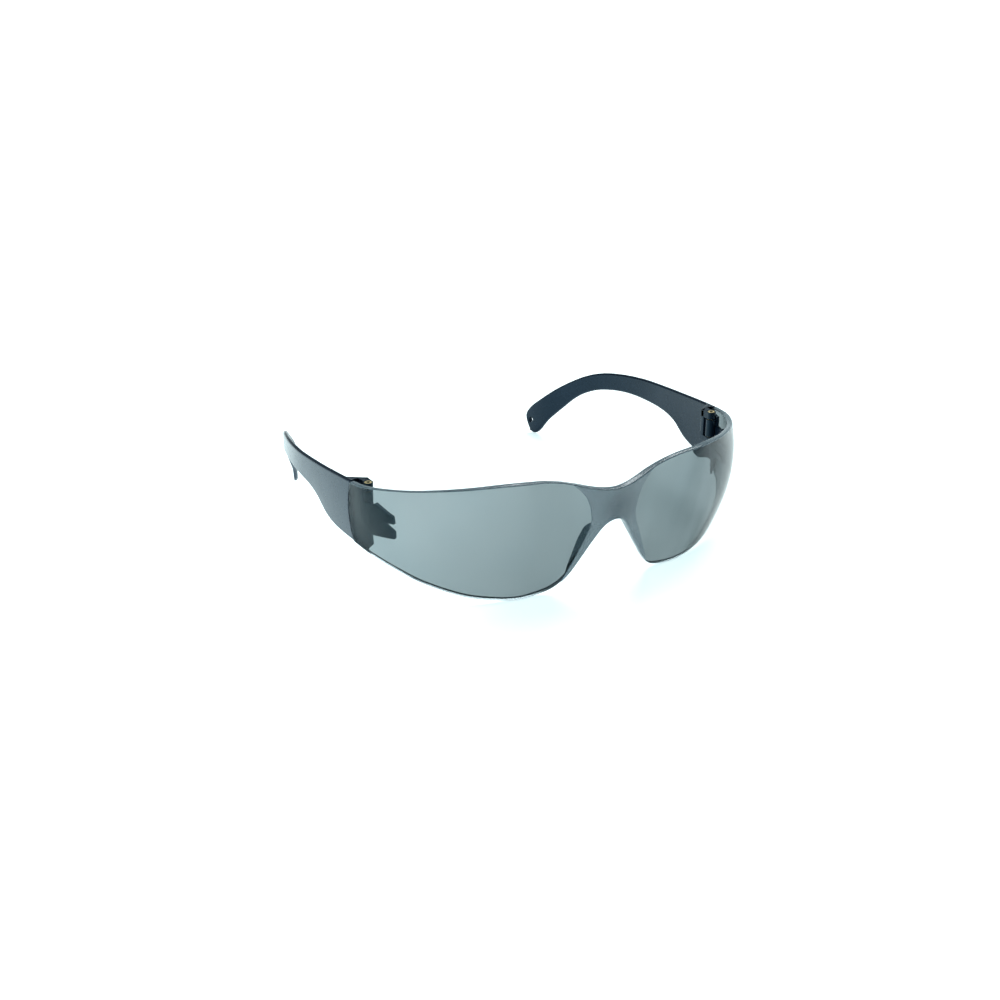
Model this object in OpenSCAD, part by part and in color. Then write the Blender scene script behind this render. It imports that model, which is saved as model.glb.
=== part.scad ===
// Safety glasses: a one-piece wraparound shield with moulded nose flanges,
// two snap-in endpieces, two tubular hinge pins and two folding temples.
// Every piece is drawn on the +X side, the wearer's left, and mirrored.
// Working heights are above the floor, and working depths (Y) are measured from
// the parting between shield and temple, towards the wearer's ears.

/* [Shield] */
// Thickness of the shield at the bridge
shield_t = 2.2; // [2.0:0.1:2.6]
// Thickness of the shield at its ends
shield_end_t = 1.8; // [1.6:0.1:1.8]
// How far the shield bulges forward between its top and bottom edges
shield_bulge = 1.9; // [1.2:0.1:2.4]
// Further bulge where the shield wraps round to the temples
wrap_bulge = 1.6; // [1.2:0.1:1.8]
// How far the shield's ends bow towards the temples at half their height
end_bow = 1.2; // [0:0.1:1.4]
// How far the frosted bridge stands proud of the two lens areas
bridge_rise = 0.3; // [0:0.05:0.5]
// Depth of the nose flanges behind the shield
flange_depth = 4.5; // [3.1:0.2:4.7]
// Thickness of the nose flanges
flange_t = 1.5; // [1.2:0.1:2]

/* [Hinge] */
// Distance of the hinge axis from the middle of the part
axis_x = 65.9; // [65.6:0.1:66]
// Distance of the hinge axis in front of the parting
axis_ahead = 3.1; // [3:0.1:3.4]
// Outside radius of the tubular pin
pin_r = 1.25; // [1:0.05:1.3]
// Radius of the hole down the pin
pin_hole_r = 0.5; // [0.3:0.05:0.6]
// Radial running clearance of the pin in the temple's ears
pin_clear = 0.05; // [0.02:0.01:0.1]
// Radius of the ears' round ends
ear_r = 1.6; // [1.6:0.05:1.65]
// Radius of the middle knuckle
knuckle_r = 1.7; // [1.65:0.05:1.9]
// Gap between the ears and the middle knuckle, above and below
ear_gap = 0.25; // [0.15:0.05:0.3]

/* [Endpiece] */
// Thickness of the plate behind the shield
plate_t = 1.2; // [1:0.1:1.2]
// Gap between the plate and the shield
plate_gap = 0.08; // [0.05:0.01:0.1]

/* [Temple] */
// Thickness of the temple's wall
wall_t = 1.6; // [1.5:0.1:1.8]
// Half of the widest distance across the temples
half_width = 72.2; // [72:0.1:72.4]
// Bend radius of the temple from the hinge to its widest point
front_bend_r = 350; // [330:10:380]
// Bend radius of the temple behind its widest point
rear_bend_r = 95; // [93:1:98]
// Angle through which the temple bends inwards before its tip flares back
bend_turn = 33; // [31.5:1.5:34.5]
// Bend radius of the flared tip
flare_r = 35; // [34:1:40]
// Radius of the cord hole through the temple's tip
cord_hole_r = 1.2; // [0.8:0.1:1.3]

/* [Hidden] */
$fn = 64;

// Top edge of the shield, from the middle to the parting: across, depth, height
top_edge = [[0, -42.8, 35.2], [5, -42.3, 35.6], [9.5, -41.5, 36.7], [14, -40.8, 38.3],
    [19, -40.8, 40], [25, -41.1, 41.4], [32, -41, 42.1], [39, -38.3, 41.8],
    [46, -34.4, 41], [52.5, -29.4, 40.1], [60, -22.2, 38.9], [66, -13.8, 37.7],
    [69.4, -7, 36.8], [70.8, 0, 36.4]];
// Bottom edge, at the same stations: nose arch, nose edge, cheek and end
bottom_edge = [[0, -42.5, 24.6], [3.6, -41.6, 22.8], [7.2, -40, 17.5], [10.8, -38.6, 11.6],
    [14.5, -37.2, 6.1], [18.5, -35.3, 2.1], [24, -33.9, 0.3], [30, -33.3, 0],
    [37, -31.8, 0.8], [46, -27.6, 2.4], [56, -21.5, 6.4], [62, -16.4, 9.9],
    [67.4, -7.8, 13.4], [70.6, -1, 16.3]];
// Tallest stretch of the shield, which takes the whole bulge
shield_tall = 42;
// Outer edge of the frosted zone, up along the nose flange and round the bridge:
// distance from the middle, height
bridge_edge = [[17, 0], [15.8, 5], [13, 12], [10.4, 18], [8.3, 23], [8, 26], [8.7, 30],
    [10, 33.3], [12.1, 36], [15.5, 39], [21, 44]];
// Width of the step from the bridge down to the lens areas
bridge_step = 1.2;
// Samples in each span of a curve, rows from bottom to top of the shield, spans
// at the shield's end that the endpiece lies behind, and spans of the wrap's bulge
span_steps = 3;
shield_rows = 10;
end_spans = 4;
wrap_spans = 6;

// Side outline of the temple, round its tip and back: depth, height
temple_side = [[0.25, 36.6], [10, 36], [20, 35.3], [35, 34.4], [46, 33.8], [57, 32.7],
    [66, 31], [74, 27.8], [82.3, 22.4], [90, 15.8], [95.6, 10.7], [97.8, 6.8], [96.3, 2.4],
    [94, 0.2], [91.2, 1.5], [87.2, 7.2], [82, 13.2], [77, 18.4], [72, 21.8], [66, 24.2],
    [58, 25.7], [50, 26.2], [41, 25.9], [34, 25.4], [29, 24.6], [24.5, 23.1], [21, 20.9],
    [17.5, 18.9], [12, 17.3], [6, 16.7], [-0.7, 16.3]];
// Samples in each span of the side outline, and of the bowed line at its front
side_steps = 4;
bow_steps = 8;
// Depth at which the temple is widest
widest_y = 34;
// Place of the cord hole: depth, height
cord_hole = [94.8, 5.6];

// Outline of the endpiece's plate and its two barbed fingers:
// distance forward from the parting, height
plate_outline = [[0.3, 35.3], [5.6, 34.7], [5.6, 31.3], [9.4, 31.2], [10.9, 32.1],
    [17.7, 29], [18, 26.5], [14, 26.4], [18, 23.8], [17.8, 21.3], [7.7, 20.4], [7.6, 16.4],
    [5.4, 14.4], [4.9, 10], [0.2, 10], [0.2, 16.5], [-0.5, 18.5], [-0.9, 21], [-1.2, 24],
    [-1.2, 28], [-0.6, 31.5]];
// Direction in which the plate runs forward, from the X axis, and the length of
// the prisms that cut its outline
plate_turn = -109.3;
end_reach = 16;
// Ridges along the fingers: start and end, each as distance forward and height
ridges = [[[7.2, 27.8], [16.6, 27.8]], [[7.2, 22.8], [16.6, 22.6]]];
// Width and height of a ridge on the finger's inner face
ridge_w = 0.9;
ridge_h = 0.5;

// Heights of the lower ear's underside, of the knuckle and of the upper ear's top
ear_low = 25.2;
knuckle_low = 27.4;
knuckle_high = 33.7;
ear_high = 36.4;
// Inboard face of the hinge block, and where the block meets the temple's wall
block_in = axis_x - ear_r + 0.05;
block_rear = [69.9, 4.6];
block_corner_y = 0.7;
// Front face of the block where it clears the knuckle
block_front_y = -axis_ahead + knuckle_r + 0.4;
// Outboard face of the block beside the plate, and gap behind the plate
block_out = axis_x + 1.2;
part_gap = 0.3;
// Outboard side of the web between an ear and the block, from the axis
ear_web = 1.1;
// Overrun of a cutting tool past the faces that it cuts
overrun = 1;
// Facets round the temple's long bends
bend_fn = 240;
// Centres of the temple's three bends, and a reach past its farthest face
front_centre = [half_width - front_bend_r, widest_y];
rear_centre = [half_width - rear_bend_r, widest_y];
flare_centre = rear_centre + (rear_bend_r + flare_r) * [cos(bend_turn), sin(bend_turn)];
wall_reach = half_width + overrun;
// Moulding slot in the block: depths and heights
slot_y = [0.35, 1.6];
slot_z = [25.9, 28.2];
slot_depth = 1.6;
// Free space round the ears where they pass the plate
ear_room = 0.3;
// Small length that makes one solid run into the next
bite = 0.05;

// Point on a Catmull-Rom curve between b and c
function curve_point(a, b, c, d, t) =
    (2 * b + (c - a) * t + (2 * a - 5 * b + 4 * c - d) * t * t
        + (3 * b - a - 3 * c + d) * t * t * t) / 2;
// Smooth curve through the points
function curve(points, steps) =
    let (last = len(points) - 1)
    [for (i = [0:last - 1])
        let (before = i > 0 ? points[i - 1] : 2 * points[0] - points[1],
            after = i + 1 < last ? points[i + 2] : 2 * points[last] - points[last - 1])
        for (j = [0:steps - (i == last - 1 ? 0 : 1)])
            curve_point(before, points[i], points[i + 1], after, j / steps)];
// The half line and its mirror image, as one line from -X to +X
function both_sides(half) =
    concat([for (i = [len(half) - 1:-1:1]) [-half[i].x, half[i].y, half[i].z]], half);
function unit(v) = v / norm(v);
// Distance of the frosted zone's edge from the middle, at a height
function bridge_x(z) = let (i = min([for (k = [1:len(bridge_edge) - 1])
        if (z <= bridge_edge[k].y || k == len(bridge_edge) - 1) k]),
        a = bridge_edge[i - 1], b = bridge_edge[i])
    a.x + (b.x - a.x) * (z - a.y) / (b.y - a.y);
function smooth(t) = let (c = max(0, min(1, t))) c * c * (3 - 2 * c);

top_line = curve(both_sides(top_edge), span_steps);
bottom_line = curve(both_sides(bottom_edge), span_steps);
columns = len(top_line);
middle = (columns - 1) / 2;

// Horizontal direction that points away from the head at a column
function outward(i) =
    let (a = max(0, i - 1), b = min(columns - 1, i + 1),
        along = top_line[b] - top_line[a] + bottom_line[b] - bottom_line[a])
    unit([along.y, -along.x, 0]);
function plain_point(i, v) =
    let (height = top_line[i].z - bottom_line[i].z,
        from_end = min(i, columns - 1 - i) / span_steps,
        bulge = shield_bulge * pow(height / shield_tall, 2)
            + wrap_bulge * pow(sin(180 * min(1, from_end / wrap_spans)), 2),
        bow = end_bow * smooth(1 - from_end / end_spans))
    bottom_line[i] + (top_line[i] - bottom_line[i]) * v
        + (outward(i) * bulge + [0, bow, 0]) * 4 * v * (1 - v);
plain = [for (i = [0:columns - 1]) [for (r = [0:shield_rows]) plain_point(i, r / shield_rows)]];
// Direction square to the shield's front face, and level with the parting at its ends
function face_normal(i, r) =
    let (a = plain[max(0, i - 1)][r], b = plain[min(columns - 1, i + 1)][r],
        low = plain[i][max(0, r - 1)], high = plain[i][min(shield_rows, r + 1)],
        square = cross(b - a, high - low),
        inner = i > 0 && i < columns - 1 ? 1 : 0)
    unit([square.x, square.y * inner, square.z]);
function thickness(i) =
    shield_t + (shield_end_t - shield_t) * pow(top_line[i].x / top_line[columns - 1].x, 2);
function rise(p) = bridge_rise * smooth((bridge_x(p.z) - abs(p.x)) / bridge_step + 1);

// Surface at a distance behind the front face; a negative distance is in front
function sheet(first, last, extra, raised) =
    [for (i = [first:last]) [for (r = [0:shield_rows])
        plain[i][r] - face_normal(i, r)
            * (extra < 0 ? -rise(plain[i][r]) * raised : thickness(i) + extra)]];

// Closed shell between a front grid and a back grid of points
module shell(front, back) {
    wide = len(front);
    high = len(front[0]);
    function at(side, i, r) = (side * wide + i) * high + r;
    quads = concat(
        [for (i = [0:wide - 2]) for (r = [0:high - 2])
            [at(0, i, r), at(0, i, r + 1), at(0, i + 1, r + 1), at(0, i + 1, r)]],
        [for (i = [0:wide - 2]) for (r = [0:high - 2])
            [at(1, i, r), at(1, i + 1, r), at(1, i + 1, r + 1), at(1, i, r + 1)]],
        [for (i = [0:wide - 2]) [at(0, i, 0), at(0, i + 1, 0), at(1, i + 1, 0), at(1, i, 0)]],
        [for (i = [0:wide - 2])
            [at(0, i, high - 1), at(1, i, high - 1), at(1, i + 1, high - 1),
                at(0, i + 1, high - 1)]],
        [for (r = [0:high - 2]) [at(0, 0, r), at(1, 0, r), at(1, 0, r + 1), at(0, 0, r + 1)]],
        [for (r = [0:high - 2])
            [at(0, wide - 1, r), at(0, wide - 1, r + 1), at(1, wide - 1, r + 1),
                at(1, wide - 1, r)]]);
    polyhedron(
        points = [for (side = [front, back]) for (line = side) for (p = line) p],
        faces = [for (q = quads) for (tri = [[q[0], q[1], q[2]], [q[0], q[2], q[3]]]) tri]);
}

shield_front = sheet(0, columns - 1, -1, 1);
shield_back = sheet(0, columns - 1, 0, 0);

// The frame's origin: the middle of the part's depth, on the floor
front_reach = min([for (line = shield_front) for (p = line) p.y]);
temple_curve = curve(temple_side, side_steps);
// Front end of the temple, which follows the bow of the shield's end
temple_front = [for (k = [1:bow_steps - 1])
    let (v = k / bow_steps, foot = temple_side[len(temple_side) - 1])
        foot + (temple_side[0] - foot) * v + [end_bow * 4 * v * (1 - v), 0]];
rear_reach = max([for (p = temple_curve) p.x]);
shift_y = -(front_reach + rear_reach) / 2;
floor_z = min([for (p = concat(shield_front[0], bottom_line)) p.z]);

// Puts a piece drawn on the +X side in the frame
module place(side) {
    translate([0, shift_y, -floor_z]) mirror([side < 0 ? 1 : 0, 0, 0]) children();
}

// Columns between which the nose flange runs
flange_first = middle + 3;
flange_last = middle + 12;
// Direction of the flange: backwards and flared away from the nose
flange_flare = 0.5;
flange_way = unit([flange_flare, 1, 0]);
// Length past each end column at which the flange's depth would reach zero, in
// columns, and the share of the flange's length over which it reaches its depth
flange_runout = 0.3;
flange_rise = 0.2;
// How fast the flange narrows from there to its lower end
flange_taper = 1.4;
// Depth at which the flange starts inside the shield, as a share of its thickness
flange_root = 0.75;

module nose_flange() {
    count = flange_last - flange_first;
    // Share of the depth, down the leaf from its deepest place near the bridge
    function share(k) =
        let (t = (k + flange_runout) / (count + 2 * flange_runout))
        sqrt(sin(90 * min(1, t / flange_rise))) * pow(cos(90 * t), flange_taper);
    function station(k) =
        let (i = flange_first + k,
            along = unit(shield_back[i + 1][0] - shield_back[i - 1][0]),
            side = unit(cross(along, flange_way)),
            root = shield_front[i][0] * (1 - flange_root) + shield_back[i][0] * flange_root,
            tip = shield_back[i][0] + flange_way * flange_depth * share(k))
        [[root + side * bite, tip + side * bite], [root + side * flange_t,
            tip + side * flange_t]];
    grid = [for (k = [0:count]) station(k)];
    shell([for (s = grid) s[1]], [for (s = grid) s[0]]);
}

module lens_shield() {
    color([0.45, 0.52, 0.55, 0.6]) translate([0, shift_y, -floor_z]) {
        shell(shield_front, shield_back);
        nose_flange();
        mirror([1, 0, 0]) nose_flange();
    }
}

// Prism of an outline given as distance forward from the parting and height,
// standing across the end of the shield and reaching well past both its faces
module across_end(outline) {
    translate([top_edge[len(top_edge) - 1].x, 0, 0]) rotate([0, 0, plate_turn])
        rotate([90, 0, 0]) linear_extrude(end_reach, center = true) polygon(outline);
}

// Ribbon that follows the inside of the shield's last spans between two depths
module end_ribbon(near, far) {
    first = columns - 1 - end_spans * span_steps;
    shell(sheet(first, columns - 1, near, 0), sheet(first, columns - 1, far, 0));
}

module ridge(line) {
    along = unit(line[1] - line[0]);
    off = [-along.y, along.x] * ridge_w / 2;
    intersection() {
        end_ribbon(plate_gap + plate_t - bite, plate_gap + plate_t + ridge_h);
        across_end([line[0] - off, line[1] - off, line[1] + off, line[0] + off]);
    }
}

module endpiece() {
    difference() {
        union() {
            intersection() {
                end_ribbon(plate_gap, plate_gap + plate_t);
                across_end(plate_outline);
            }
            translate([axis_x, -axis_ahead, knuckle_low])
                cylinder(r = knuckle_r, h = knuckle_high - knuckle_low);
        }
        translate([axis_x, -axis_ahead, 0]) cylinder(r = pin_r, h = ear_high + overrun);
        for (low = [ear_low - ear_gap, knuckle_high])
            translate([axis_x, -axis_ahead, low])
                cylinder(r = ear_r + ear_room, h = knuckle_low - ear_low + ear_gap);
    }
    for (line = ridges) ridge(line);
}

module hinge_pin() {
    translate([axis_x, -axis_ahead, ear_low]) difference() {
        cylinder(r = pin_r, h = ear_high - ear_low);
        translate([0, 0, -overrun])
            cylinder(r = pin_hole_r, h = ear_high - ear_low + 2 * overrun);
    }
}

// Part of the temple's wall bent about one centre, within an area of its plan
module bent_wall(centre, small_r, area) {
    intersection() {
        translate([centre.x, centre.y, -overrun]) difference() {
            cylinder(r = small_r + wall_t, h = ear_high + 2 * overrun, $fn = bend_fn);
            translate([0, 0, -overrun])
                cylinder(r = small_r, h = ear_high + 4 * overrun, $fn = bend_fn);
        }
        translate([0, 0, -overrun]) linear_extrude(ear_high + 2 * overrun) polygon(area);
        rotate([90, 0, 90]) linear_extrude(wall_reach)
            polygon(concat(temple_curve, temple_front));
    }
}

module ear(low, high) {
    translate([axis_x, -axis_ahead, low]) cylinder(r = ear_r, h = high - low);
    translate([0, 0, low]) linear_extrude(high - low)
        polygon([[block_in, -axis_ahead], [axis_x + ear_web, -axis_ahead],
            [axis_x + ear_web, part_gap + bite], [block_in, part_gap + bite]]);
}

module hinge_block() {
    translate([0, 0, ear_low]) linear_extrude(ear_high - ear_low)
        polygon([[block_in, block_front_y], [block_out, block_front_y], [block_out, end_bow + part_gap],
            [block_rear.x, end_bow + part_gap], block_rear, [block_in, block_corner_y]]);
}

module temple() {
    difference() {
        union() {
            bent_wall(front_centre, front_bend_r - wall_t,
                [[0, -axis_ahead], [wall_reach, -axis_ahead], [wall_reach, widest_y],
                    [0, widest_y]]);
            bent_wall(rear_centre, rear_bend_r - wall_t,
                [rear_centre, [wall_reach, widest_y], flare_centre]);
            bent_wall(flare_centre, flare_r, [rear_centre, flare_centre, [0, flare_centre.y]]);
            hinge_block();
            ear(ear_low, knuckle_low - ear_gap);
            ear(knuckle_high + ear_gap, ear_high);
        }
        translate([axis_x, -axis_ahead, 0])
            cylinder(r = pin_r + pin_clear, h = ear_high + overrun);
        translate([block_in - overrun, slot_y[0], slot_z[0]])
            cube([slot_depth + overrun, slot_y[1] - slot_y[0], slot_z[1] - slot_z[0]]);
        translate([0, cord_hole.x, cord_hole.y]) rotate([0, 90, 0])
            cylinder(r = cord_hole_r, h = wall_reach);
    }
}

module left_endpiece() { color([0.2, 0.24, 0.29]) place(1) endpiece(); }
module right_endpiece() { color([0.2, 0.24, 0.29]) place(-1) endpiece(); }
module left_hinge_pin() { color([0.85, 0.72, 0.42]) place(1) hinge_pin(); }
module right_hinge_pin() { color([0.85, 0.72, 0.42]) place(-1) hinge_pin(); }
module left_temple() { color([0.24, 0.28, 0.33]) place(1) temple(); }
module right_temple() { color([0.24, 0.28, 0.33]) place(-1) temple(); }

lens_shield();
left_endpiece();
right_endpiece();
left_hinge_pin();
right_hinge_pin();
left_temple();
right_temple();
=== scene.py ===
"""Safety glasses: a tinted one-piece shield, two snap-in endpieces, two tubular hinge
pins and two folding temples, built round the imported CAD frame.

Shapes are worked out in millimetres in the working frame of the design, where depths
run back from the parting between shield and temple and heights start at the floor, and
are written to the meshes in metres in the CAD frame.
"""
import math
import bmesh
import bpy
from mathutils import Matrix, Vector


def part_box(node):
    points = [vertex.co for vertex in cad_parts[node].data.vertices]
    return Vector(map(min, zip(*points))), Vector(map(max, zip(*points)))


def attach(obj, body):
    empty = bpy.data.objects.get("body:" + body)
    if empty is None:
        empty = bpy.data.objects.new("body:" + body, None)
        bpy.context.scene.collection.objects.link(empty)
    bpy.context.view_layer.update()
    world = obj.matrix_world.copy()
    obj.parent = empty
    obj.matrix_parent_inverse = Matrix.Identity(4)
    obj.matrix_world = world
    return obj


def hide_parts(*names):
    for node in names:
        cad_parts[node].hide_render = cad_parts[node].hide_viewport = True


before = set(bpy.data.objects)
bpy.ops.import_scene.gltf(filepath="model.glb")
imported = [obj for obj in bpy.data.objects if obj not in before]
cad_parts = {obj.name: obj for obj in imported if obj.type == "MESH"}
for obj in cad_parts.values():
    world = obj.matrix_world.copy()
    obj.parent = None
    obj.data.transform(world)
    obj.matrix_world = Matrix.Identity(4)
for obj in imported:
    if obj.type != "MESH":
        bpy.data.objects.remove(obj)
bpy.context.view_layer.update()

MM = 0.001

# ---------------------------------------------------------------- driving sizes, mm
SHIELD_T = 2.2            # thickness of the shield at the bridge
SHIELD_END_T = 1.8        # and at its ends
SHIELD_BULGE = 1.9        # how far its front bulges between top and bottom edge
SHIELD_TALL = 42.0        # the height that takes the whole bulge
WRAP_BULGE = 1.6          # further bulge where it wraps round to the temples
WRAP_SPANS = 6            # spans of the outline over which that bulge rises and falls
END_BOW = 1.2             # how far its ends bow towards the temples
END_SPANS = 4             # spans of the outline that the endpiece lies behind
BRIDGE_RISE = 0.28        # how far the frosted bridge stands proud
BRIDGE_STEP = 0.22        # width of the step down to the lens areas
EDGE_R = 0.4              # rounding of the shield's edges
FLANGE_DEPTH = 4.5        # how far the nose flanges reach behind the shield
FLANGE_RISE = 0.2         # share of a flange's length over which it reaches that depth
FLANGE_TAPER = 1.4        # how sharply it falls off towards the lower end
FLANGE_T = 1.5            # thickness of the nose flanges
FLANGE_FLARE = 0.5        # how far they lean outwards, per mm of depth
FLANGE_SPANS = (1.0, 4.0)  # spans of the outline that they run along
PLATE_T = 1.2             # thickness of the endpieces' plates
PLATE_GAP = 0.08          # and their gap to the shield
WALL_T = 1.6              # thickness of the temples
HALF_WIDTH = 72.2         # the temples' outer faces at their widest
WIDEST_Y = 34.0           # and how far back that is
FRONT_BEND_R = 350.0      # bend of the temples ahead of it
REAR_BEND_R = 95.0        # and behind it
BEND_TURN = math.radians(33)   # how far the rear bend turns
FLARE_R = 35.0            # opposite bend of the tips
AXIS_X = 65.9             # hinge axis from the middle
AXIS_AHEAD = 3.1          # and ahead of the parting

# Outlines of the design: (across, depth, height) from the middle to the parting
TOP_EDGE = [(0, -42.8, 35.2), (5, -42.3, 35.6), (9.5, -41.5, 36.7), (14, -40.8, 38.3),
            (19, -40.8, 40), (25, -41.1, 41.4), (32, -41, 42.1), (39, -38.3, 41.8),
            (46, -34.4, 41), (52.5, -29.4, 40.1), (60, -22.2, 38.9), (66, -13.8, 37.7),
            (69.4, -7, 36.8), (70.8, 0, 36.4)]
BOTTOM_EDGE = [(0, -42.5, 24.6), (3.6, -41.6, 22.8), (7.2, -40, 17.5), (10.8, -38.6, 11.6),
               (14.5, -37.2, 6.1), (18.5, -35.3, 2.1), (24, -33.9, 0.3), (30, -33.3, 0),
               (37, -31.8, 0.8), (46, -27.6, 2.4), (56, -21.5, 6.4), (62, -16.4, 9.9),
               (67.4, -7.8, 13.4), (70.6, -1, 16.3)]
# Edge of the frosted zone: (distance from the middle, height)
BRIDGE_EDGE = [(17, 0), (15.8, 5), (13, 12), (10.4, 18), (8.3, 23), (8, 26), (8.7, 30),
               (10, 33.3), (12.1, 36), (15.5, 39), (21, 44)]
# Side outline of the temple round its tip: (depth, height)
TEMPLE_SIDE = [(0.25, 36.6), (10, 36), (20, 35.3), (35, 34.4), (46, 33.8), (57, 32.7),
               (66, 31), (74, 27.8), (82.3, 22.4), (90, 15.8), (95.6, 10.7), (97.8, 6.8),
               (96.3, 2.4), (94, 0.2), (91.2, 1.5), (87.2, 7.2), (82, 13.2), (77, 18.4),
               (72, 21.8), (66, 24.2), (58, 25.7), (50, 26.2), (41, 25.9), (34, 25.4),
               (29, 24.6), (24.5, 23.1), (21, 20.9), (17.5, 18.9), (12, 17.3), (6, 16.7),
               (-0.7, 16.3)]
TEMPLE_TIP = 12.5         # place of the tip along that outline, in spans
CORD_HOLE = (94.8, 5.6)   # its centre: (depth, height)

BITE = 0.05               # how far one solid runs into the next
EDGE_TURNS = 5            # steps round an edge of the shield
EDGE_SUPPORT = 0.15       # width of the flat beside that rounding
SHIELD_ROWS = 26          # rows of faces between those flats
FROST_COLUMNS = 26        # columns on each side of the middle in the frosted zone
LENS_COLUMNS = 90         # and from there to the end
END_R = 0.2               # rounding of the shield's ends
SPAN_MM = 4.0             # length of a span of the outline at the bridge
END_SPAN_MM = 7.2         # and at the end
PLATE_SPAN_MM = 7.5       # and behind it, over the endpiece
GUESS_SPAN_MM = 8.0       # the same for the first guess of a place on the endpiece
FLANGE_STATIONS = 40      # rings of points along a flange
FLANGE_EDGE_R = 0.45      # rounding of its long edges
FLANGE_ROOT = 0.75        # share of the shield's thickness at which its root lies
FLANGE_ENDS = 0.03        # share of the leaf cut off at each end
FLANGE_END_T = 0.35       # share of its thickness left there
FLANGE_THICKEN = 4        # and how fast that grows along it
EDGE_SEARCH = 0.8, 6.0    # spans between which the frosted zone's edge lies
SLOPE_STEP = 0.1          # spans, or share of height, over which slopes are measured
WELD = 0.00001            # points this close are joined, in metres
SHIELD_SHARP = 30         # angles above which an edge is sharp, degrees
MOULDED_SHARP = 38
TEMPLE_R = 0.75           # rounding of the temple's long edges
TEMPLE_DISH = 0.15        # depth and margin of the shallow dish in its front end
PARTING_TRIM = 0.25       # how far that end stands back from the parting
TEMPLE_STATIONS = 150     # rings of points along a temple
TEMPLE_ROUND_STEPS = 4    # steps round its edges
TEMPLE_FACE_STEPS = 12    # and across its faces
TEMPLE_SUPPORT = 0.2      # width of the flat beside its rounding
OUTLINE_STEPS = 400       # steps in which the side outline is measured
TIP_CROWDING = 1.15       # how the rings crowd towards the tip
TEMPLE_CROWN = 0.4        # bulge of its front end
CROWN_LENGTH = 40.0       # depth over which that bulge dies out
BOW_LENGTH = 12.0         # and over which the bow at the parting does
CORD_HOLE_R = 1.15
CORD_HOLE_CHAMFER = 0.08
PIN_R = 1.25
PIN_HOLE_R = 0.5
PIN_SIDES = 64
PIN_CLEAR = 0.05          # play round the pin in the ears
PIN_SEAT = 0.01           # and in the knuckle
EAR_R = 1.6
EAR_WEB = 1.1             # half width of the web from an ear to the block
EAR_WEB_END = 0.8         # depth at which the web ends
KNUCKLE_R = 1.7
KNUCKLE_RELIEF = 0.3      # clearance round the ears in the plate
EAR_GAP = 0.25            # between the knuckle and each ear
BORE_FLARE = 0.95         # how much wider the ears' bore is 1 mm outside them
RIM_CHAMFER = 0.12        # of the ears, the knuckle and the pin
TUBE_BORE_SIDES = 3       # sides of a tube's cross-section that face its bore
# Heights between which the ears and the knuckle lie
EAR_LOW, KNUCKLE_LOW, KNUCKLE_HIGH, EAR_HIGH = 25.2, 27.4, 33.7, 36.4
HINGE = (AXIS_X, -AXIS_AHEAD)
# The block inside the temple's front end: its inner, outer and front faces
BLOCK_IN = AXIS_X - EAR_R + 0.05
BLOCK_OUT = AXIS_X + 1.2
BLOCK_FRONT_Y = -AXIS_AHEAD + KNUCKLE_R + 0.4
BLOCK_STEP = (69.9, 1.5)  # where the block widens to meet the temple's wall
BLOCK_RAMP = (4.6, 0.7)   # depths of its sloping back, outside and inside
BLOCK_EDGE_R = 0.2
SLOT_DEPTHS = (0.35, 1.6)     # moulding slot in the block: front and rear
SLOT_HEIGHTS = (25.9, 28.2)   # bottom and top
SLOT_REACH = 1.6              # and how far it cuts in
# Outline of the endpiece's plate: (forward of the parting, height)
PLATE_OUTLINE = [(0.3, 35.3), (5.6, 34.7), (5.6, 31.3), (9.4, 31.2), (10.9, 32.1), (17.7, 29),
                 (18, 26.5), (14, 26.4), (18, 23.8), (17.8, 21.3), (7.7, 20.4), (7.6, 16.4),
                 (5.4, 14.4), (4.9, 13.2), (0.2, 16.6), (-0.5, 18.5), (-0.9, 21),
                 (-1.2, 24), (-1.2, 28), (-0.6, 31.5)]
# Ridges along its fingers: start and end of each
RIDGES = [((7.2, 27.8), (16.6, 27.8)), ((7.2, 22.8), (16.6, 22.6))]
RIDGE_W, RIDGE_H = 0.9, 0.5
RIDGE_ROOT = 0.2          # how far the ridges reach into the plate
PLATE_EDGE_R, RIDGE_EDGE_R = 0.18, 0.15
PLATE_TURN = math.radians(-109.3)   # level direction of the plate, forward of the parting
PLATE_CUTS = 0.5, (-1, 34)          # spacing and counts of the cuts that let it bend
PLATE_LEVELS = 2.0, (4, 18)         # and of the level ones

# Looks: the dye in the shield, then the tints of its surfaces and of their shadows
DYE_COLOUR = (0.07, 0.145, 0.165)
DYE_DENSITY = 720.0
LENS_TINT_LOW = (0.93, 0.95, 0.96)
LENS_TINT_HIGH = (1.0, 1.0, 1.0)
LENS_SHADOW = (0.95, 0.96, 0.97)
FROST_TINT_LOW = (0.30, 0.43, 0.53)
FROST_TINT_HIGH = (0.66, 0.84, 0.97)
FROST_PAINTED_SHEEN_CENTRE = (2.5, -44.0, 27.5)   # centre of the painted sheen: the bridge is darkest round here
FROST_PAINTED_SHEEN_REACH = 11.0           # and lightest this far away
# The rim's lighter tints are painted highlight along the shield's edges, varied by moulding
# marks
RIM_HIGHLIGHT_TINT_LOW = (0.34, 0.46, 0.54)
RIM_HIGHLIGHT_TINT_HIGH = (0.46, 0.58, 0.67)
DULL_SHADOW = (0.8, 0.82, 0.84)
GLOSS_TINT = (0.5, 0.82, 1.0)
TEMPLE_TINTS = (0.006, 0.012, 0.025), (0.010, 0.018, 0.034)
ENDPIECE_TINTS = (0.004, 0.011, 0.024), (0.008, 0.018, 0.034)
BRASS_LOW, BRASS_HIGH = (0.55, 0.40, 0.17), (0.86, 0.72, 0.42)
LIGHT_TINT = (0.80, 0.985, 1.0)
LAMP_TINT = (0.92, 0.99, 1.0)
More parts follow.
